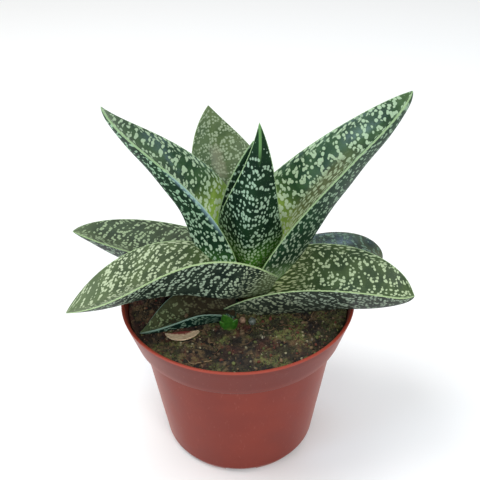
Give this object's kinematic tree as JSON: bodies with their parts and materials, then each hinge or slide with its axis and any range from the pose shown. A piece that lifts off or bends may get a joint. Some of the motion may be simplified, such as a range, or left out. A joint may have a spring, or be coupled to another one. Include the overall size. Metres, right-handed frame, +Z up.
{
  "type": "potted gasteraloe",
  "caption": "Succulent rosette of keeled, white-spotted leaves on a short stem, rooted in potting soil in a round plastic nursery pot with a wide collar.",
  "frame": {"origin": "middle of the pot's flat underside, on the surface that it stands on", "axes": "+Z up; -Y is the plant's front, with the two low front leaves; +X is the side of the tall right leaf"},
  "size_m": [0.1505, 0.105, 0.173],
  "materials": {
    "heart_leaf": "waxy, glossy, dark green with pale raised spots",
    "outer_leaf": "waxy, satin, olive green with pale spots and horny margins",
    "stem": "matte, fleshy",
    "young_leaf": "satin, fresh green",
    "dried_leaf": "matte, dry",
    "granule": "matte",
    "grit": "translucent, glossy",
    "soil": "rough, crumbly, damp",
    "pot": "satin moulded, terracotta coloured"
  },
  "bodies": {
    "root": {"leaf_centre_front": "heart_leaf", "leaf_centre_inner": "heart_leaf", "leaf_upper_right": "heart_leaf", "leaf_upper_left": "heart_leaf", "leaf_back_upright": "heart_leaf", "leaf_back_right": "outer_leaf", "leaf_back_left": "outer_leaf", "leaf_right_back": "outer_leaf", "leaf_left_level": "outer_leaf", "leaf_right_front": "outer_leaf", "leaf_left_front": "outer_leaf", "leaf_small_front": "outer_leaf", "stem": "stem", "young_offset": "young_leaf", "dried_leaf_scrap": "dried_leaf", "tan_granule": "granule", "clear_grit_bead": "grit", "potting_soil": "soil", "pot": "pot"}
  },
  "joints": []
}
